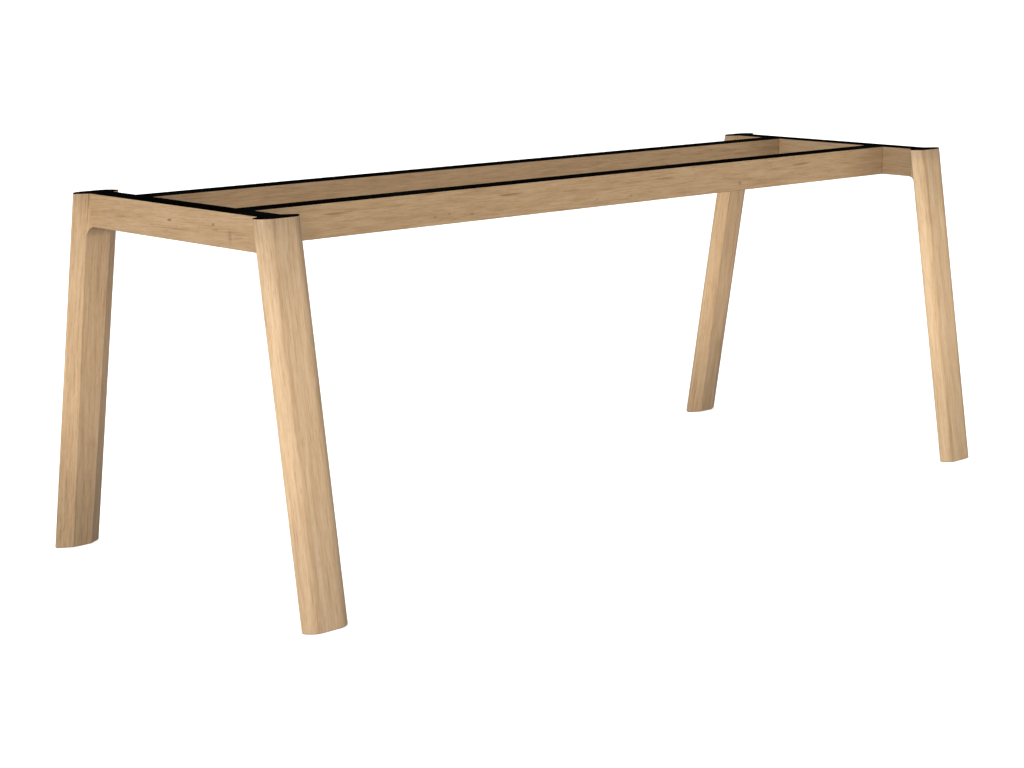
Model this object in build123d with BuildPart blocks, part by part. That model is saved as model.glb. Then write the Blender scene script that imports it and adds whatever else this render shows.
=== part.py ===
# Oak table frame without its top: two end frames of splayed legs, joined by two long rails, with black pads
# on every upward face. Millimetres, +Z up. The origin is on the floor, midway between the four feet, X runs
# along the table and the front is at -Y.
import os
from math import atan, cos, hypot, pi, sqrt, tan

from build123d import *

# Whole frame
frame_height = 720.0  # floor to the top of the pads
frame_length = 2000.0  # over the side edges of the legs, before they are rounded
foot_width = 830.0  # over the feet, front to back
top_width = 600.0  # over the legs at the top, front to back

# Legs, in level section
leg_width = 102.0  # over the two side edges, before they are rounded
leg_floor_depth = 41.0  # outer flat to inner flat at the floor
leg_top_depth = 37.0  # the same at the top of the wood
leg_side_depth = 23.0  # outer flat to the side edges
leg_outer_flat = 40.0
leg_floor_flat = 43.0  # width of the inner flat at the floor, wider further up
leg_edge_radius = 3.0
foot_chamfer = 1.5
corner_radius = 24.0  # inside corner between end rail and leg
shoulder_land = 1.0  # top of the inner flat to the end rail

# Rails
rail_thickness = 48.0
rail_height = 64.0
rail_edge_radius = 1.5  # lower edges of the rails and of the legs' shoulders
long_rail_spread = 360.0  # over the outer faces of the two long rails

# Black pads
pad_thickness = 1.0

# Loose tenons, leg to end rail
tenon_height = 40.0
tenon_thickness = 14.0
tenon_length = 50.0

# Dowels and studs, long rail to end rail
dowel_radius = 5.0
dowel_length = 50.0
dowel_spacing = 40.0
stud_radius = 4.0
stud_point = 0.8
stud_past_nut = 4.5
insert_radius = 6.0
insert_length = 22.0
stud_setback = 2.0  # stud's end to the insert's far end
pocket_radius = 14.0
pocket_inset = 55.0  # rail end to the pocket's middle
pocket_headroom = 12.0  # pocket above the stud's axis
washer_flat_offset = 8.0  # pocket's middle to the washer's flat
washer_height = 16.0
nut_width = 13.0  # across flats
nut_thickness = 6.5

# Holes for the screws that hold a table top, driven from below
screw_hole_radius = 3.0
screw_head_radius = 7.0
screw_wood = 22.0  # wood left above the head
long_screw_inset = 275.0  # long rail's end to its first hole
end_screw_spacing = 180.0

# Clearances
glue_gap = 0.1  # around tenons, dowels and inserts
end_gap = 1.0  # past the ends of tenons, dowels and inserts
stud_clearance = 0.5  # around the stud in the rail and the washer
thread_gap = 0.05  # around the stud in the insert and the nut
pocket_gap = 0.1  # washer to the pocket's wall

# Worked out from the sizes above
leg_x = frame_length / 2 - leg_width / 2
wood_top = frame_height - pad_thickness
rail_bottom = wood_top - rail_height
rail_middle = wood_top - rail_height / 2
slope = (foot_width - top_width) / 2 / frame_height
inner_slope = slope - (leg_floor_depth - leg_top_depth) / wood_top
inner_angle = atan(inner_slope)
corner_run = corner_radius * tan((pi / 2 - inner_angle) / 2)
chamfer_ratio = (leg_width - leg_floor_flat) / 2 / (leg_floor_depth - leg_side_depth)
end_rail_inner_x = leg_x - rail_thickness / 2
long_rail_length = 2 * end_rail_inner_x
long_rail_y = long_rail_spread / 2 - rail_thickness / 2


def outer_face_y(z):
    return foot_width / 2 - slope * z


def inner_face_y(z):
    return foot_width / 2 - leg_floor_depth - inner_slope * z


def inner_flat_width(z):
    depth = outer_face_y(z) - inner_face_y(z)
    return leg_width - 2 * chamfer_ratio * (depth - leg_side_depth)


# The corner's curve starts under the end rail, crosses the seam and ends on the leg's inner flat
corner_start = inner_face_y(rail_bottom) - corner_run
corner_low = rail_bottom - corner_run * cos(inner_angle)
corner_end = inner_face_y(corner_low)
shoulder_y = inner_face_y(wood_top) - shoulder_land
shoulder_low = rail_bottom - corner_radius + sqrt(corner_radius**2 - (shoulder_y - corner_start) ** 2)
shoulder_root = leg_top_depth - leg_side_depth
end_rail_length = 2 * shoulder_y
both_ways = (-1, 1)

# Where each joint meets, seen from the leg: local X is up, local Z points into the leg
tenon_joints = [
    Plane((end * leg_x, side * shoulder_y, rail_middle), x_dir=(0, 0, 1), z_dir=(0, side, 0))
    for end in both_ways
    for side in both_ways
]
# The long rails' ends: local X is up, local Z points into the end rail
stud_joints = [
    Plane((end * end_rail_inner_x, side * long_rail_y, rail_middle), x_dir=(0, 0, 1), z_dir=(end, 0, 0))
    for end in both_ways
    for side in both_ways
]
# Pockets under the long rails, around the studs
pocket_places = [
    (end * (end_rail_inner_x - pocket_inset), side * long_rail_y, rail_middle)
    for end in both_ways
    for side in both_ways
]
long_screw_x = long_rail_length / 2 - long_screw_inset
long_screw_places = [(x, 0) for x in (-long_screw_x, 0, long_screw_x)]
end_screw_places = [(0, side * end_screw_spacing / 2) for side in both_ways]

# Level section of a leg at the back before its inner flat is planed: outer flat on y = 0, wood at -y
with BuildSketch() as leg_section:
    with BuildLine():
        outer_flat = Line((-leg_outer_flat / 2, 0), (leg_outer_flat / 2, 0))
        ridge = (0, -leg_side_depth - leg_width / 2 / chamfer_ratio)
        left_chamfer = Line(ridge, (-leg_width / 2, -leg_side_depth))
        right_chamfer = Line(ridge, (leg_width / 2, -leg_side_depth))
        TangentArc(outer_flat @ 0, left_chamfer @ 1, tangent=(-1, 0))
        TangentArc(outer_flat @ 1, right_chamfer @ 1, tangent=(1, 0))
    make_face()
    side_edges = leg_section.vertices().sort_by(Axis.X)
    fillet([side_edges[0], side_edges[-1]], leg_edge_radius)

# Straight leg at the back right corner, cut level at the floor, its inner flat planed off
with BuildPart() as straight_leg:
    with BuildSketch(Plane((leg_x, foot_width / 2, 0))):
        add(leg_section.sketch)
    extrude(amount=hypot(wood_top, slope * wood_top), dir=(0, -slope, 1))
    split(bisect_by=Plane((leg_x, inner_face_y(0), 0), x_dir=(1, 0, 0), z_dir=(0, 1, inner_slope)))

# The same leg with its shoulder
with BuildPart() as leg:
    # Shoulder with its share of the rounded inside corner, drawn from the side
    with BuildSketch(Plane.YZ.offset(leg_x)):
        with BuildLine():
            outline = Polyline(
                (shoulder_y, shoulder_low),
                (shoulder_y, wood_top),
                (inner_face_y(wood_top) + shoulder_root, wood_top),
                (corner_end + shoulder_root, corner_low),
                (corner_end, corner_low),
            )
            TangentArc(outline @ 1, outline @ 0, tangent=(-inner_slope, 1))
        make_face()
    extrude(amount=leg_width / 2, both=True)
    # Seen from above it flares from the rail's thickness to the inner flat at the foot of the corner
    with BuildSketch(Plane((leg_x, 0, corner_low))):
        with BuildLine():
            seam = Line((-rail_thickness / 2, shoulder_y), (rail_thickness / 2, shoulder_y))
            flare = (inner_flat_width(corner_low) - rail_thickness) / 2 / (corner_end - shoulder_y)
            root_y = corner_end + shoulder_root
            root_x = rail_thickness / 2 + flare * (root_y - shoulder_y)
            Polyline(seam @ 1, (root_x, root_y), (-root_x, root_y), seam @ 0)
        make_face()
    extrude(amount=wood_top - corner_low, mode=Mode.INTERSECT)
    corner_face = leg.faces().filter_by(GeomType.CYLINDER)[0]
    fillet(corner_face.edges().filter_by(Axis.X, reverse=True), rail_edge_radius)
    add(straight_leg.part)
    chamfer(leg.faces().sort_by(Axis.Z)[0].edges(), foot_chamfer)
    # Mortise for the loose tenon
    with BuildSketch(Plane((leg_x, shoulder_y, rail_middle), x_dir=(0, 0, 1), z_dir=(0, 1, 0))):
        SlotOverall(tenon_height + 2 * glue_gap, tenon_thickness + 2 * glue_gap)
    extrude(amount=tenon_length / 2 + end_gap, mode=Mode.SUBTRACT)

# Pad on the same leg, cut to the outline of its top
with BuildPart() as leg_pad:
    extrude(leg.faces().sort_by(Axis.Z)[-1], amount=pad_thickness)

# End rail at the right, with the rest of the rounded corners under its ends
with BuildPart() as end_rail:
    with BuildSketch(Plane.YZ.offset(leg_x)):
        with BuildLine():
            underside = Line((-corner_start, rail_bottom), (corner_start, rail_bottom))
            TangentArc(underside @ 0, (-shoulder_y, shoulder_low), tangent=(-1, 0))
            TangentArc(underside @ 1, (shoulder_y, shoulder_low), tangent=(1, 0))
            Polyline(
                (-shoulder_y, shoulder_low),
                (-shoulder_y, wood_top),
                (shoulder_y, wood_top),
                (shoulder_y, shoulder_low),
            )
        make_face()
    extrude(amount=rail_thickness / 2, both=True)
    low_faces = end_rail.faces().filter_by(GeomType.CYLINDER)
    low_faces.append(end_rail.faces().filter_by(Axis.Z).sort_by(Axis.Z)[0])
    fillet(low_faces.edges().filter_by(Axis.X, reverse=True), rail_edge_radius)
    # Mortises in both ends
    with BuildSketch(*[plane for plane in tenon_joints if plane.origin.X > 0]):
        SlotOverall(tenon_height + 2 * glue_gap, tenon_thickness + 2 * glue_gap)
    extrude(amount=-(tenon_length / 2 + end_gap), mode=Mode.SUBTRACT)
    # Dowel and insert holes for the long rails, and the screw holes
    for plane in stud_joints:
        if plane.origin.X > 0:
            with Locations(Plane(plane.origin, x_dir=plane.x_dir, z_dir=-plane.z_dir)):
                Hole(insert_radius + glue_gap, insert_length + end_gap)
                with GridLocations(dowel_spacing, 0, 2, 1):
                    Hole(dowel_radius + glue_gap, dowel_length / 2 + end_gap)
    with Locations(Plane((leg_x, 0, rail_bottom), x_dir=(1, 0, 0), z_dir=(0, 0, -1))):
        with Locations(*end_screw_places):
            CounterBoreHole(screw_hole_radius, screw_head_radius, rail_height - screw_wood, rail_height)

with BuildPart() as end_pad:
    with BuildSketch(Plane((leg_x, 0, wood_top))):
        Rectangle(rail_thickness, end_rail_length)
        with Locations(*end_screw_places):
            Circle(screw_hole_radius, mode=Mode.SUBTRACT)
    extrude(amount=pad_thickness)

# Long rail at the back
with BuildPart() as long_rail:
    with Locations((0, long_rail_y, rail_middle)):
        Box(long_rail_length, rail_thickness, rail_height)
    fillet(long_rail.edges().filter_by(Axis.X).group_by(Axis.Z)[0], rail_edge_radius)
    # Dowel holes and stud bores in both ends
    for plane in stud_joints:
        if plane.origin.Y > 0:
            with Locations(plane):
                Hole(stud_radius + stud_clearance, pocket_inset)
                with GridLocations(dowel_spacing, 0, 2, 1):
                    Hole(dowel_radius + glue_gap, dowel_length / 2 + end_gap)
    # Pockets and screw holes, from below
    with Locations(Plane((0, long_rail_y, rail_bottom), x_dir=(1, 0, 0), z_dir=(0, 0, -1))):
        with Locations(*[(place[0], 0) for place in pocket_places if place[1] > 0]):
            Hole(pocket_radius, rail_height / 2 + pocket_headroom)
        with Locations(*long_screw_places):
            CounterBoreHole(screw_hole_radius, screw_head_radius, rail_height - screw_wood, rail_height)

with BuildPart() as long_pad:
    with BuildSketch(Plane((0, long_rail_y, wood_top))):
        Rectangle(long_rail_length, rail_thickness)
        with Locations(*long_screw_places):
            Circle(screw_hole_radius, mode=Mode.SUBTRACT)
    extrude(amount=pad_thickness)

# Hidden joinery, each group in one piece of the list
with BuildPart() as leg_tenons:
    with BuildSketch(*tenon_joints):
        SlotOverall(tenon_height, tenon_thickness)
    extrude(amount=tenon_length / 2, both=True)

with BuildPart() as rail_dowels:
    for plane in stud_joints:
        with Locations(plane):
            with GridLocations(dowel_spacing, 0, 2, 1):
                Cylinder(dowel_radius, dowel_length)

with BuildPart() as threaded_inserts:
    with BuildSketch(*stud_joints):
        Circle(insert_radius)
        Circle(stud_radius + thread_gap, mode=Mode.SUBTRACT)
    extrude(amount=insert_length)

stud_reach = pocket_inset - washer_flat_offset + nut_thickness + stud_past_nut
with BuildPart() as stud_bolts:
    with BuildSketch(*[plane.offset(-stud_reach) for plane in stud_joints]):
        Circle(stud_radius)
    extrude(amount=stud_reach + insert_length - stud_setback)
    chamfer(stud_bolts.edges().filter_by(GeomType.CIRCLE), stud_point)

washer_radius = pocket_radius - pocket_gap
with BuildPart() as crescent_washers:
    for plane, place in zip(stud_joints, pocket_places):
        end = plane.z_dir.X
        with BuildSketch(Plane(place)):
            Circle(washer_radius)
            with Locations((end * (washer_flat_offset + washer_radius), 0)):
                Rectangle(2 * washer_radius, 2 * washer_radius, mode=Mode.INTERSECT)
        extrude(amount=washer_height / 2, both=True)
        with Locations(plane):
            Hole(stud_radius + stud_clearance, pocket_inset)

nut_inset = pocket_inset - washer_flat_offset + nut_thickness
with BuildPart() as stud_nuts:
    with BuildSketch(*[plane.offset(-nut_inset) for plane in stud_joints]):
        RegularPolygon(nut_width / 2, 6, major_radius=False)
        Circle(stud_radius + thread_gap, mode=Mode.SUBTRACT)
    extrude(amount=nut_thickness)

# Every piece in its own place: what repeats is mirrored from the back right corner
os.makedirs("parts", exist_ok=True)


def save(piece, name):
    piece.label = name
    export_step(piece, f"parts/{name}.step")


ends = {"left": -1, "right": 1}
sides = {"front": -1, "back": 1}


def mirrored(piece, end, side):
    if end < 0:
        piece = mirror(piece, about=Plane.YZ)
    if side < 0:
        piece = mirror(piece, about=Plane.XZ)
    return piece


for end_name, end in ends.items():
    for side_name, side in sides.items():
        save(mirrored(leg.part, end, side), f"{side_name}_{end_name}_leg")
        save(mirrored(leg_pad.part, end, side), f"{side_name}_{end_name}_leg_pad")
    save(mirrored(end_rail.part, end, 1), f"{end_name}_end_rail")
    save(mirrored(end_pad.part, end, 1), f"{end_name}_end_pad")

for side_name, side in sides.items():
    save(mirrored(long_rail.part, 1, side), f"{side_name}_long_rail")
    save(mirrored(long_pad.part, 1, side), f"{side_name}_long_pad")

save(leg_tenons.part, "leg_tenons")
save(rail_dowels.part, "rail_dowels")
save(threaded_inserts.part, "threaded_inserts")
save(stud_bolts.part, "stud_bolts")
save(crescent_washers.part, "crescent_washers")
save(stud_nuts.part, "stud_nuts")
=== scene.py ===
from math import atan, radians

import bpy
from mathutils import Euler, Matrix, Vector


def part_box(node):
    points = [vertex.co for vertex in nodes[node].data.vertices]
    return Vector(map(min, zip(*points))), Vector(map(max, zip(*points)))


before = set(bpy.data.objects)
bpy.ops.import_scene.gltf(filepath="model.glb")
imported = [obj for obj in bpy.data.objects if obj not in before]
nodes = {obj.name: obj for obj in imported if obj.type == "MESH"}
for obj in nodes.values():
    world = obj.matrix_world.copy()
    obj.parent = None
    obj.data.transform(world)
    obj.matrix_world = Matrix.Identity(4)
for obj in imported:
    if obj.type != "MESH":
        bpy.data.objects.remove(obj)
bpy.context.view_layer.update()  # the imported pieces, each in its place, in metres
print("frame loaded:", len(nodes), "pieces")


# Small helpers for building node trees
def newTree(name):
    material = bpy.data.materials.new(name)
    material.use_nodes = True
    material.node_tree.nodes.clear()
    return material, material.node_tree


def addNode(tree, kind, inputs, **settings):
    node = tree.nodes.new("ShaderNode" + kind)
    for setting, value in settings.items():
        setattr(node, setting, value)
    for name, value in inputs.items():
        if isinstance(value, bpy.types.NodeSocket):
            tree.links.new(value, node.inputs[name])
        else:
            node.inputs[name].default_value = value
    return node


def opaque(colour):
    return (*colour, 1)


def objectCoords(tree):
    return addNode(tree, "TexCoord", {}).outputs["Object"]


def splitVector(tree, vector):
    return addNode(tree, "SeparateXYZ", {0: vector}).outputs


def maths(tree, operation, a, b=0.0):
    return addNode(tree, "Math", {0: a, 1: b}, operation=operation).outputs[0]


def scaled(tree, value, gain, offset):
    return maths(tree, "ADD", maths(tree, "MULTIPLY", value, gain), offset)


def vectorMaths(tree, operation, a, b):
    return addNode(tree, "VectorMath", {0: a, 1: b}, operation=operation).outputs[0]


def vectorLength(tree, vector):
    return addNode(tree, "VectorMath", {0: vector}, operation="LENGTH").outputs["Value"]


def noise(tree, vector, scale, detail, roughness=0.5, output="Fac"):
    inputs = {"Vector": vector, "Scale": scale, "Detail": detail, "Roughness": roughness}
    return addNode(tree, "TexNoise", inputs).outputs[output]


def remap(tree, value, low, high, toLow=0.0, toHigh=1.0):  # soft step from one range to another
    inputs = {"Value": value, "From Min": low, "From Max": high, "To Min": toLow, "To Max": toHigh}
    return addNode(tree, "MapRange", inputs, interpolation_type="SMOOTHSTEP").outputs["Result"]


def mixColours(tree, share, a, b, blend="MIX"):
    return addNode(tree, "Mix", {0: share, 6: a, 7: b}, data_type="RGBA", blend_type=blend).outputs[2]


def ramp(tree, value, stops):
    node = addNode(tree, "ValToRGB", {"Fac": value})
    while len(node.color_ramp.elements) < len(stops):
        node.color_ramp.elements.new(0.5)
    for element, (position, colour) in zip(node.color_ramp.elements, stops):
        element.position = position
        element.color = opaque(colour)
    return node.outputs["Color"]


def edgeMask(tree, radius, low, high):  # 1 along the arrises, 0 on the open faces
    softened = addNode(tree, "Bevel", {"Radius": radius}, samples=6).outputs["Normal"]
    plain = addNode(tree, "NewGeometry", {}).outputs["Normal"]
    inputs = {0: softened, 1: plain}
    facing = addNode(tree, "VectorMath", inputs, operation="DOT_PRODUCT").outputs["Value"]
    return remap(tree, facing, low, high, 1.0, 0.0)


def finishSurface(tree, colour, roughness, height, depth, **settings):
    bump = addNode(tree, "Bump", {"Height": height, "Distance": depth, "Strength": 1.0})
    inputs = {"Base Color": colour, "Roughness": roughness, "Normal": bump.outputs["Normal"]}
    inputs.update({name.replace("_", " "): value for name, value in settings.items()})
    shader = addNode(tree, "BsdfPrincipled", inputs)
    output = addNode(tree, "OutputMaterial", {})
    tree.links.new(shader.outputs["BSDF"], output.inputs["Surface"])


# Oak: solid wood, so the grain runs through each piece and shows on every face of it
oakLook = {
    "pale": (0.72, 0.507, 0.308),
    "light": (0.655, 0.443, 0.254),
    "mid": (0.585, 0.378, 0.207),
    "dark": (0.45, 0.274, 0.142),
    "pore": (0.24, 0.14, 0.07),
    "tones": {"dark": 0.22, "mid": 0.42, "light": 0.60, "pale": 0.82},
    "baseTone": 0.53,
    "ringSpacing": 0.0034,
    "earlyWood": 0.45,  # share of a ring, more porous and a little darker
    "earlyTone": -0.08,
    "earlyPores": 0.7,
    "latePores": 0.5,
    "poreShare": 0.35,
    "markRagged": 1.2,
    "edgeRadius": 0.0015,
    "edgeShare": 0.12,
    "bumpDepth": 0.00022,
    "streakHeight": 0.35,
}
oakRough = {"base": 0.56, "streaks": -0.16, "pores": 0.18, "edges": -0.08}
oakFibres = {  # noise that is drawn out along the grain
    "drift": {"spread": (1.6, 6.0, 6.0), "detail": 2.0},
    "ripple": {"spread": (22.0, 45.0, 45.0), "detail": 1.0},
    "bands": {"stretch": 0.07, "scale": 70.0, "detail": 5.0, "roughness": 0.58},
    "streaks": {"stretch": 0.055, "detail": 6.0, "roughness": 0.62},
    "pores": {"stretch": 0.04, "scale": 1300.0, "detail": 1.0, "limits": (0.56, 0.70)},
    "dashes": {"stretch": 0.08, "scale": 480.0, "detail": 2.0, "limits": (0.62, 0.74)},
}
oakGrain = {  # how strong bands, streaks and dashes are, and how far fibres drift and ripple, in metres
    "leg": {
        "bands": 0.60, "streaks": 1.00, "streakScale": 230.0, "dashes": 0.40,
        "drift": 0.016, "ripple": 0.0012,
    },
    "end": {
        "bands": 0.50, "streaks": 0.95, "streakScale": 270.0, "dashes": 0.55,
        "drift": 0.016, "ripple": 0.0016,
    },
    "long": {
        "bands": 0.50, "streaks": 1.10, "streakScale": 270.0, "dashes": 0.55,
        "drift": 0.016, "ripple": 0.0016,
    },
}
oakPieces = {  # pith from the piece's middle, its start along the plank, slope of the grain, and a colour scale fitted to each piece in its light, holding its tone with some painted light and shade
    "front_left_leg": {
        "grain": "leg", "pith": (0.07, 0.11), "start": 1.7, "shade": (0.99, 1.01, 1.03),
    },
    "front_right_leg": {
        "grain": "leg", "pith": (0.08, 0.10), "start": 5.3, "shade": (0.98, 1.0, 1.0),
    },
    "back_left_leg": {
        "grain": "leg", "pith": (-0.06, 0.09), "start": 9.1, "shade": (0.975, 0.975, 0.965),
    },
    "back_right_leg": {
        "grain": "leg", "pith": (-0.08, 0.09), "start": 13.6, "shade": (1.0, 0.995, 0.975),
    },
    "left_end_rail": {
        "grain": "end", "pith": (0.08, -0.10), "start": 17.2, "slope": 3.5, "shade": (0.73, 0.71, 0.67),
    },
    "right_end_rail": {
        "grain": "end", "pith": (-0.07, 0.12), "start": 21.9, "slope": 0.0, "shade": (0.74, 0.735, 0.705),
    },
    "front_long_rail": {
        "grain": "long", "pith": (0.09, -0.12), "start": 26.4, "shade": (0.74, 0.72, 0.67),
    },
    "back_long_rail": {
        "grain": "long", "pith": (-0.08, -0.13), "start": 33.8, "shade": (0.75, 0.72, 0.665),
    },
}
oakVeins = {  # lines along a leg: distance from the pith, width and strength, below zero for a pale line
    "front_left_leg": [(0.1445, 0.0075, 0.27), (0.1330, 0.0065, -0.28)],
    "front_right_leg": [(0.1430, 0.0075, 0.34), (0.1320, 0.0085, -0.34)],
    "back_left_leg": [(0.1130, 0.0040, 0.14)],
    "back_right_leg": [(0.1230, 0.0040, 0.22)],
}
oakWaves = {  # wavy lines low on a leg
    "back_left_leg": {
        "scale": (24.0, 14.0, 14.0), "sway": 0.013, "spacing": 0.0105, "width": 0.15,
        "strength": 0.17, "height": 0.33,
    },
}
markDepth = 0.012
oakMarks = {  # on a rail's outer face: place along it, down from its top, length, height and strength
    "left_end_rail": [
        (0.005, 0.0280, 0.0115, 0.0036, 0.90),  # knot
        (-0.128, 0.0250, 0.0055, 0.0034, 0.70),
        (-0.177, 0.0420, 0.0075, 0.0180, 0.36),  # crack
        (-0.133, 0.0335, 0.0150, 0.0026, 0.35),
        (-0.200, 0.0430, 0.0200, 0.0028, 0.25),
        (-0.032, 0.0420, 0.0480, 0.0026, 0.40),
        (0.165, 0.0350, 0.0480, 0.0026, 0.40),
    ],
    "front_long_rail": [
        (-0.731, 0.0200, 0.0440, 0.0032, 0.62),  # four streaks
        (-0.284, 0.0200, 0.0420, 0.0032, 0.60),
        (0.163, 0.0200, 0.0430, 0.0030, 0.50),
        (0.616, 0.0200, 0.0440, 0.0032, 0.50),
        (-0.488, 0.0480, 0.0060, 0.0040, 0.42),  # six specks
        (-0.451, 0.0445, 0.0055, 0.0034, 0.36),
        (-0.392, 0.0485, 0.0065, 0.0048, 0.38),
        (-0.041, 0.0480, 0.0060, 0.0040, 0.38),
        (0.060, 0.0485, 0.0065, 0.0048, 0.38),
        (0.409, 0.0475, 0.0065, 0.0048, 0.65),
    ],
}
oakPaintedShade = {  # painted shade: legs darker at the floor, top and seam, rails darker on the inside and towards the joints, where shade falls
    "floor": {"front": 0.78, "back": 0.66, "fade": 0.35},
    "top": {"front": 0.81, "back": 0.88, "fade": 0.50},
    "rim": {
        "front_left_leg": 0.84, "front_right_leg": 0.80,
        "back_left_leg": 0.84, "back_right_leg": 0.62,
        "reach": 0.045,
    },
    "seam": {"tone": 0.86, "reach": 0.010},
    "inside": {"end": 0.66, "long": 0.75},
    "railEnd": {"tone": 0.68, "reach": 0.19},
    "joint": {"tone": 0.75, "reach": 0.007},
}


def grainTurn(name, piece):  # turns the piece so that its grain lies along X
    if piece["grain"] == "long":
        return Euler((0, 0, 0))
    if piece["grain"] == "end":
        return Euler((radians(piece["slope"]), 0, radians(-90)))
    low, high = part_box(name)
    padLow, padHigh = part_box(name + "_pad")
    if "front" in name:  # how far the foot stands out from the top
        lean = low.y - padLow.y
    else:
        lean = high.y - padHigh.y
    return Euler((-atan(lean / (high.z - low.z)), radians(90), 0))


def bendFibres(tree, turned, fibres, amount):  # pushes the fibres sideways, by up to half the amount
    spread = vectorMaths(tree, "MULTIPLY", turned, fibres["spread"])
    push = noise(tree, spread, 1.0, fibres["detail"], output="Color")
    push = vectorMaths(tree, "SUBTRACT", push, (0.5, 0.5, 0.5))
    return vectorMaths(tree, "MULTIPLY", push, (0, amount, amount))


def fibreNoise(tree, grain, fibres, scale):
    drawnOut = vectorMaths(tree, "MULTIPLY", grain, (fibres["stretch"], 1, 1))
    return noise(tree, drawnOut, scale, fibres["detail"], fibres.get("roughness", 0.5))


def addVeins(tree, tone, radius, streaks, veins):
    for distance, width, strength in veins:
        beside = maths(tree, "ABSOLUTE", maths(tree, "SUBTRACT", radius, distance))
        vein = maths(tree, "MULTIPLY", remap(tree, beside, 0.0, width, strength, 0.0), streaks)
        tone = maths(tree, "SUBTRACT", tone, vein)
    return tone


def addWaves(tree, tone, radius, turned, coords, waves):
    sway = noise(tree, vectorMaths(tree, "MULTIPLY", turned, waves["scale"]), 1.0, 3.0)
    swayed = maths(tree, "ADD", radius, maths(tree, "MULTIPLY", sway, waves["sway"]))
    share = maths(tree, "FRACT", maths(tree, "DIVIDE", swayed, waves["spacing"]))
    beside = maths(tree, "ABSOLUTE", maths(tree, "SUBTRACT", share, 0.5))
    line = remap(tree, beside, 0.0, waves["width"], waves["strength"], 0.0)
    lowDown = remap(tree, splitVector(tree, coords)["Z"], 0.0, waves["height"], 1.0, 0.0)
    return maths(tree, "SUBTRACT", tone, maths(tree, "MULTIPLY", line, lowDown))


def railSides(name, axis):  # inner and outer side of a rail, seen from the frame's middle
    low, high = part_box(name)
    return sorted((low[axis], high[axis]), key=abs)


def addMarks(tree, colour, turned, streaks, name, piece, turn, place):
    ragged = maths(tree, "MULTIPLY", maths(tree, "SUBTRACT", streaks, 0.5), oakLook["markRagged"])
    for along, down, length, height, strength in oakMarks.get(name, []):
        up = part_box(name)[1].z - down
        if piece["grain"] == "end":
            markPlace = Vector((railSides(name, 0)[1], along, up))
        else:
            markPlace = Vector((along, railSides(name, 1)[1], up))
        turnedPlace = turn.to_matrix() @ markPlace + place
        away = vectorMaths(tree, "SUBTRACT", turned, turnedPlace)
        away = vectorMaths(tree, "DIVIDE", away, (length, markDepth, height))
        reach = maths(tree, "ADD", vectorLength(tree, away), ragged)
        spot = remap(tree, reach, 0.3, 1.0, strength, 0.0)
        colour = mixColours(tree, spot, colour, opaque(oakLook["pore"]))
    return colour


# painted shade on a leg: darker near the floor, towards the top, just under the top and beside the rail's
# seam
def legPaintedShade(tree, place, name):
    low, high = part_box(name)
    side = "front" if "front" in name else "back"
    floor, top, rim, seam = (oakPaintedShade[part] for part in ("floor", "top", "rim", "seam"))
    paintedFloorShade = remap(tree, place["Z"], low.z, floor["fade"], floor[side], 1.0)
    paintedTopShade = remap(tree, place["Z"], top["fade"], high.z, 1.0, top[side])
    paintedRimShade = remap(tree, place["Z"], high.z - rim["reach"], high.z, 1.0, rim[name])
    inner = min(abs(low.y), abs(high.y))
    fromMiddle = maths(tree, "ABSOLUTE", place["Y"])
    paintedSeamShade = remap(tree, fromMiddle, inner, inner + seam["reach"], seam["tone"], 1.0)
    paintedUpperShade = maths(tree, "MULTIPLY", paintedTopShade, paintedRimShade)
    return maths(tree, "MULTIPLY", maths(tree, "MULTIPLY", paintedFloorShade, paintedUpperShade), paintedSeamShade)


# painted shade on a rail: darker on its inner side and, on the long rails, towards the joints at their
# ends
def railPaintedShade(tree, place, name, grain):
    axis = 0 if grain == "end" else 1
    inside, outside = railSides(name, axis)
    tone = remap(tree, place["XY"[axis]], inside, outside, oakPaintedShade["inside"][grain], 1.0)
    if grain == "end":
        return tone
    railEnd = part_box(name)[1].x
    fromMiddle = maths(tree, "ABSOLUTE", place["X"])
    for look in (oakPaintedShade["railEnd"], oakPaintedShade["joint"]):
        paintedEndShade = remap(tree, fromMiddle, railEnd - look["reach"], railEnd, 1.0, look["tone"])
        tone = maths(tree, "MULTIPLY", tone, paintedEndShade)
    return tone


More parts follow.
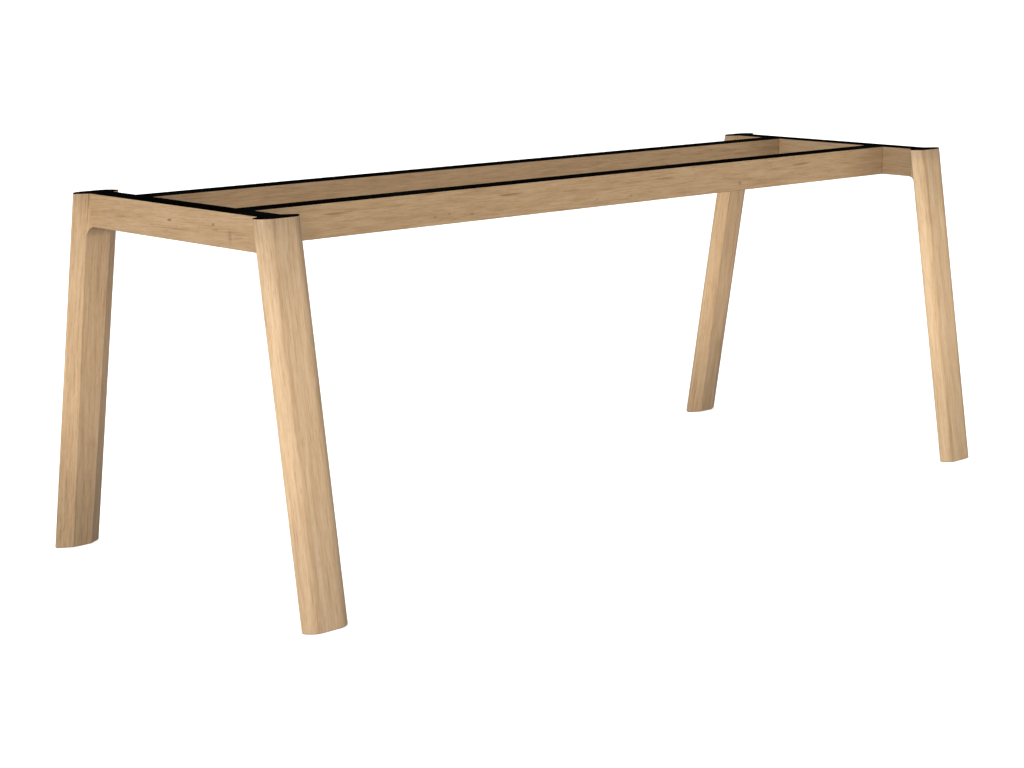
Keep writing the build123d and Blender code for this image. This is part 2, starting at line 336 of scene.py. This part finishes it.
def makeOak(name, piece):
    material, tree = newTree("oak_" + name)
    strength = oakGrain[piece["grain"]]
    low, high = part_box(name)
    turn = grainTurn(name, piece)
    middle = turn.to_matrix() @ ((low + high) / 2)
    place = Vector((piece["start"], *piece["pith"])) - middle
    coords = objectCoords(tree)
    inputs = {"Vector": coords, "Location": place, "Rotation": turn}
    turned = addNode(tree, "Mapping", inputs).outputs["Vector"]

    # The fibres drift and ripple a little along the piece
    grain = turned
    for bend in ("drift", "ripple"):
        push = bendFibres(tree, turned, oakFibres[bend], strength[bend])
        grain = vectorMaths(tree, "ADD", grain, push)

    # Growth rings around the pith
    radius = vectorLength(tree, vectorMaths(tree, "MULTIPLY", grain, (0, 1, 1)))
    along = splitVector(tree, grain)["X"]
    ring = maths(tree, "FRACT", maths(tree, "DIVIDE", radius, oakLook["ringSpacing"]))
    early = remap(tree, ring, 0.0, oakLook["earlyWood"], 1.0, 0.0)

    # Broad bands that follow the rings, then fine streaks, pores and dark dashes along the fibres
    look = oakFibres["bands"]
    bandAlong = maths(tree, "MULTIPLY", along, look["stretch"])
    bandPlace = addNode(tree, "CombineXYZ", {0: bandAlong, 1: radius}).outputs[0]
    bands = noise(tree, bandPlace, look["scale"], look["detail"], look["roughness"])
    streaks = fibreNoise(tree, grain, oakFibres["streaks"], strength["streakScale"])
    look = oakFibres["pores"]
    pores = remap(tree, fibreNoise(tree, grain, look, look["scale"]), *look["limits"])
    share = scaled(tree, early, oakLook["earlyPores"], oakLook["latePores"])
    pores = maths(tree, "MULTIPLY", pores, share)
    look = oakFibres["dashes"]
    dashes = remap(tree, fibreNoise(tree, grain, look, look["scale"]), *look["limits"])

    # Tone of the wood, from 0 for dark to 1 for pale
    tone = maths(tree, "MULTIPLY", maths(tree, "SUBTRACT", bands, 0.5), strength["bands"])
    streakTone = maths(tree, "MULTIPLY", maths(tree, "SUBTRACT", streaks, 0.5), strength["streaks"])
    tone = maths(tree, "ADD", maths(tree, "ADD", tone, streakTone), oakLook["baseTone"])
    tone = maths(tree, "ADD", tone, maths(tree, "MULTIPLY", early, oakLook["earlyTone"]))
    tone = addVeins(tree, tone, radius, streaks, oakVeins.get(name, []))
    if name in oakWaves:
        tone = addWaves(tree, tone, radius, turned, coords, oakWaves[name])

    # Colour, with pores, dashes, marks and slightly darker arrises
    colour = ramp(tree, tone, [(stop, oakLook[key]) for key, stop in oakLook["tones"].items()])
    dark, pore = opaque(oakLook["dark"]), opaque(oakLook["pore"])
    colour = mixColours(tree, maths(tree, "MULTIPLY", pores, oakLook["poreShare"]), colour, pore)
    colour = mixColours(tree, maths(tree, "MULTIPLY", dashes, strength["dashes"]), colour, dark)
    colour = addMarks(tree, colour, turned, streaks, name, piece, turn, place)
    worn = edgeMask(tree, oakLook["edgeRadius"], 0.75, 0.995)
    colour = mixColours(tree, maths(tree, "MULTIPLY", worn, oakLook["edgeShare"]), colour, dark)
    # the piece's colour scale: its tone, with some painted light and shade in it
    colour = mixColours(tree, 1.0, colour, opaque(piece["shade"]), "MULTIPLY")
    # painted shade laid over the colour: legs darker at the floor, top and seam, rails darker inside and
    # at the joints
    if piece["grain"] == "leg":
        shading = legPaintedShade(tree, splitVector(tree, coords), name)
    else:
        shading = railPaintedShade(tree, splitVector(tree, coords), name, piece["grain"])
    inputs = {0: colour, "Scale": shading}
    colour = addNode(tree, "VectorMath", inputs, operation="SCALE").outputs[0]

    rough = scaled(tree, streaks, oakRough["streaks"], oakRough["base"])
    rough = maths(tree, "ADD", rough, maths(tree, "MULTIPLY", pores, oakRough["pores"]))
    rough = maths(tree, "ADD", rough, maths(tree, "MULTIPLY", worn, oakRough["edges"]))
    height = maths(tree, "MULTIPLY", streaks, oakLook["streakHeight"])
    height = maths(tree, "SUBTRACT", height, pores)
    finishSurface(tree, colour, rough, height, oakLook["bumpDepth"], Specular_IOR_Level=0.5)
    return material


for name, piece in oakPieces.items():
    nodes[name].material_slots[0].material = makeOak(name, piece)
print("oak laid on", len(oakPieces), "pieces")


# Black rubber pads on the top faces, near black as painted shade where the top faces lie in shade: matt,
# finely pebbled, a little greyer where the edges rub
padLook = {
    # near black: painted shade on the top faces
    "black": (0.0008, 0.0008, 0.0009),
    "dusty": (0.0022, 0.0022, 0.0023),
    "rubbed": (0.006, 0.006, 0.006),
    "cloudScale": 9.0,
    "pebbleScale": 1900.0,
    "pebbleRough": 0.15,
    "rough": 0.8,
    "edgeRadius": 0.0006,
    "bumpDepth": 0.00008,
}


def makePadRubberPaintedShade():
    material, tree = newTree("black_rubber_painted_shade")
    coords = objectCoords(tree)
    pebbles = noise(tree, coords, padLook["pebbleScale"], 2.0)
    clouds = noise(tree, coords, padLook["cloudScale"], 4.0)
    dust = remap(tree, clouds, 0.4, 0.75)
    colour = mixColours(tree, dust, opaque(padLook["black"]), opaque(padLook["dusty"]))
    worn = edgeMask(tree, padLook["edgeRadius"], 0.75, 0.99)
    worn = maths(tree, "MULTIPLY", worn, remap(tree, clouds, 0.35, 0.65))
    colour = mixColours(tree, worn, colour, opaque(padLook["rubbed"]))
    rough = scaled(tree, pebbles, padLook["pebbleRough"], padLook["rough"])
    finishSurface(tree, colour, rough, pebbles, padLook["bumpDepth"], Specular_IOR_Level=0.0)
    return material


rubber = makePadRubberPaintedShade()
padNames = [name for name in nodes if name.endswith("_pad")]
for name in padNames:
    nodes[name].material_slots[0].material = rubber
print("rubber laid on", len(padNames), "pads")


# Beech for the tenons and dowels: even, with short dark flecks
beechLook = {
    "light": (0.62, 0.42, 0.25),
    "dark": (0.50, 0.31, 0.17),
    "fleck": (0.34, 0.19, 0.10),
    "fibreScale": 260.0,
    "fibreRough": 0.2,
    "rough": 0.5,
    "fleckScale": 900.0,
    "fleckShare": 0.6,
    "bumpDepth": 0.00012,
}
beechPieces = {"leg_tenons": (1, 0.06, 1), "rail_dowels": (0.06, 1, 1)}  # small along the grain


def makeBeech(name, stretch):
    material, tree = newTree("beech_" + name)
    grain = vectorMaths(tree, "MULTIPLY", objectCoords(tree), stretch)
    fibres = noise(tree, grain, beechLook["fibreScale"], 5.0, 0.6)
    flecks = remap(tree, noise(tree, grain, beechLook["fleckScale"], 1.0), 0.60, 0.72)
    flecks = maths(tree, "MULTIPLY", flecks, beechLook["fleckShare"])
    pale = remap(tree, fibres, 0.3, 0.7)
    colour = mixColours(tree, pale, opaque(beechLook["dark"]), opaque(beechLook["light"]))
    colour = mixColours(tree, flecks, colour, opaque(beechLook["fleck"]))
    rough = scaled(tree, fibres, beechLook["fibreRough"], beechLook["rough"])
    finishSurface(tree, colour, rough, fibres, beechLook["bumpDepth"], Specular_IOR_Level=0.35)
    return material


for name, stretch in beechPieces.items():
    nodes[name].material_slots[0].material = makeBeech(name, stretch)
print("beech laid on", len(beechPieces), "groups of pegs")


# Zinc-plated steel for studs, nuts, washers and inserts: fine machining lines and a cloudy plating
zincLook = {
    "bright": (0.66, 0.67, 0.68),
    "dull": (0.46, 0.47, 0.49),
    "stain": (0.36, 0.34, 0.30),
    "cloudScale": 130.0,
    "cloudRough": 0.25,
    "rough": 0.22,
    "lineStretch": (1, 0.1, 0.1),
    "lineScale": 2600.0,
    "stainScale": 60.0,
    "stainShare": 0.5,
    "bumpDepth": 0.00003,
}
zincPieces = ("threaded_inserts", "stud_bolts", "crescent_washers", "stud_nuts")


def makeZinc():
    material, tree = newTree("zinc_steel")
    coords = objectCoords(tree)
    clouds = noise(tree, coords, zincLook["cloudScale"], 4.0, 0.6)
    drawnOut = vectorMaths(tree, "MULTIPLY", coords, zincLook["lineStretch"])
    lines = noise(tree, drawnOut, zincLook["lineScale"], 2.0)
    shine = remap(tree, clouds, 0.35, 0.65)
    colour = mixColours(tree, shine, opaque(zincLook["dull"]), opaque(zincLook["bright"]))
    stains = remap(tree, noise(tree, coords, zincLook["stainScale"], 5.0, 0.65), 0.58, 0.75)
    stains = maths(tree, "MULTIPLY", stains, zincLook["stainShare"])
    colour = mixColours(tree, stains, colour, opaque(zincLook["stain"]))
    rough = scaled(tree, clouds, zincLook["cloudRough"], zincLook["rough"])
    finishSurface(tree, colour, rough, lines, zincLook["bumpDepth"], Metallic=1.0)
    return material


zinc = makeZinc()
for name in zincPieces:
    nodes[name].material_slots[0].material = zinc
print("zinc laid on", len(zincPieces), "groups of fittings")


# Pale studio floor, which throws less light back up at the frame than it shows
floorLook = {
    "size": 160.0,
    "shown": (0.97, 0.97, 0.965),
    "bounced": (0.305, 0.305, 0.30),
    "rough": 0.9,
    "grainScale": 40.0,
    "bumpDepth": 0.0002,
}


def makeFloor():
    bpy.ops.object.select_all(action="DESELECT")
    bpy.ops.mesh.primitive_plane_add(size=floorLook["size"])
    floor = bpy.context.object
    floor.name = "studio_floor"
    material, tree = newTree("pale_floor")
    seen = addNode(tree, "LightPath", {}).outputs["Is Camera Ray"]
    colour = mixColours(tree, seen, opaque(floorLook["bounced"]), opaque(floorLook["shown"]))
    height = noise(tree, objectCoords(tree), floorLook["grainScale"], 2.0)
    rough, depth = floorLook["rough"], floorLook["bumpDepth"]
    finishSurface(tree, colour, rough, height, depth, Specular_IOR_Level=0.0)
    floor.data.materials.append(material)


makeFloor()
print("floor laid")


# Soft light: a white room, broad lights from above the camera's left, and one for the far sides
studioLights = {
    "key_light": {"towards": (-0.62, -0.42, 0.66), "strength": 0.8, "spread": 55.0, "shadow": True},
    "fill_light": {"towards": (-0.54, -0.45, 0.71), "strength": 2.79, "spread": 55.0, "shadow": False},
    "back_light": {"towards": (0.36, 0.70, 0.62), "strength": 2.0, "spread": 40.0, "shadow": True},
}
roomLight = {
    "colour": (1.0, 1.0, 1.0),
    "strength": 0.424,
    "slope": 0.8,  # dimmer towards +X
    "backdrop": 1.0,
}


def makeLight(name, look):
    data = bpy.data.lights.new(name, "SUN")
    data.energy = look["strength"]
    data.angle = radians(look["spread"])
    data.use_shadow = look["shadow"]
    light = bpy.data.objects.new(name, data)
    light.rotation_euler = Vector(look["towards"]).to_track_quat("Z", "Y").to_euler()
    bpy.context.scene.collection.objects.link(light)


def makeRoom():
    world = bpy.data.worlds.new("white_room")
    world.use_nodes = True
    tree = world.node_tree
    tree.nodes.clear()
    colour = opaque(roomLight["colour"])
    direction = addNode(tree, "TexCoord", {}).outputs["Generated"]
    dimming = scaled(tree, splitVector(tree, direction)["X"], -roomLight["slope"], 1.0)
    strength = maths(tree, "MULTIPLY", dimming, roomLight["strength"])
    room = addNode(tree, "Background", {"Color": colour, "Strength": strength})
    backdrop = addNode(tree, "Background", {"Color": colour, "Strength": roomLight["backdrop"]})
    seen = addNode(tree, "LightPath", {}).outputs["Is Camera Ray"]
    mixed = addNode(tree, "MixShader", {0: seen, 1: room.outputs[0], 2: backdrop.outputs[0]})
    output = addNode(tree, "OutputWorld", {})
    tree.links.new(mixed.outputs[0], output.inputs["Surface"])
    bpy.context.scene.world = world
    bpy.context.scene.view_settings.view_transform = "Standard"


for name, look in studioLights.items():
    makeLight(name, look)
makeRoom()
print("lights set")


# Camera where the photograph was taken from, for an image of 1024 by 768
cameraLook = {
    "place": (-3.3065, -3.3174, 1.1763),
    "heading": 46.0725,  # degrees from +X towards +Y
    "down": 11.1495,
    "roll": -0.045,
    "lens": 77.708,
    "sensor": 36.0,
    "farthest": 200.0,
}


def makeCamera():
    data = bpy.data.cameras.new("photo_camera")
    data.sensor_width = cameraLook["sensor"]
    data.lens = cameraLook["lens"]
    data.clip_end = cameraLook["farthest"]
    camera = bpy.data.objects.new("photo_camera", data)
    tilt = Matrix.Rotation(radians(90 - cameraLook["down"]), 3, "X")
    heading = Matrix.Rotation(radians(cameraLook["heading"] - 90), 3, "Z")
    roll = Matrix.Rotation(radians(cameraLook["roll"]), 3, "Z")
    camera.rotation_euler = (heading @ tilt @ roll).to_euler()
    camera.location = cameraLook["place"]
    bpy.context.scene.collection.objects.link(camera)
    bpy.context.scene.camera = camera


makeCamera()
print("camera set")
